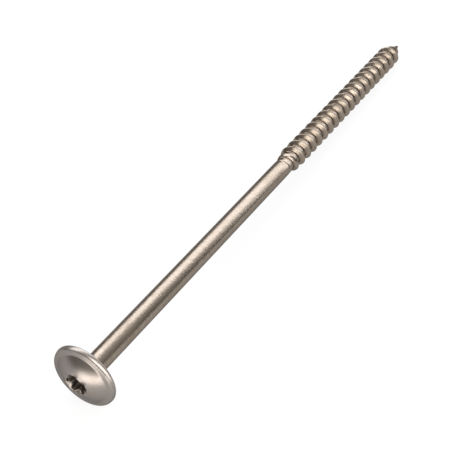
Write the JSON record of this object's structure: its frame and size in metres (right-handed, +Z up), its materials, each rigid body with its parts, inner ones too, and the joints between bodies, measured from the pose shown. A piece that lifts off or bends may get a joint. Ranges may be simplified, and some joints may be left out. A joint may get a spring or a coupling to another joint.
{
  "type": "construction screw",
  "caption": "Long timber construction screw with a broad flanged head, six-lobe drive recess, plain shank, coarse threaded end and sharp point, lying on its side.",
  "frame": {"origin": "on the surface that the screw rests on, at the centre of its outline seen from above", "axes": "+X along the screw from head to point, dipping 1.7 degrees; +Z up from the resting surface"},
  "size_m": [0.2046, 0.0196, 0.0196],
  "materials": {
    "steel": "plain satin stainless steel with fine drawing and rolling marks"
  },
  "bodies": {
    "root": {"screw": "steel"}
  },
  "joints": []
}
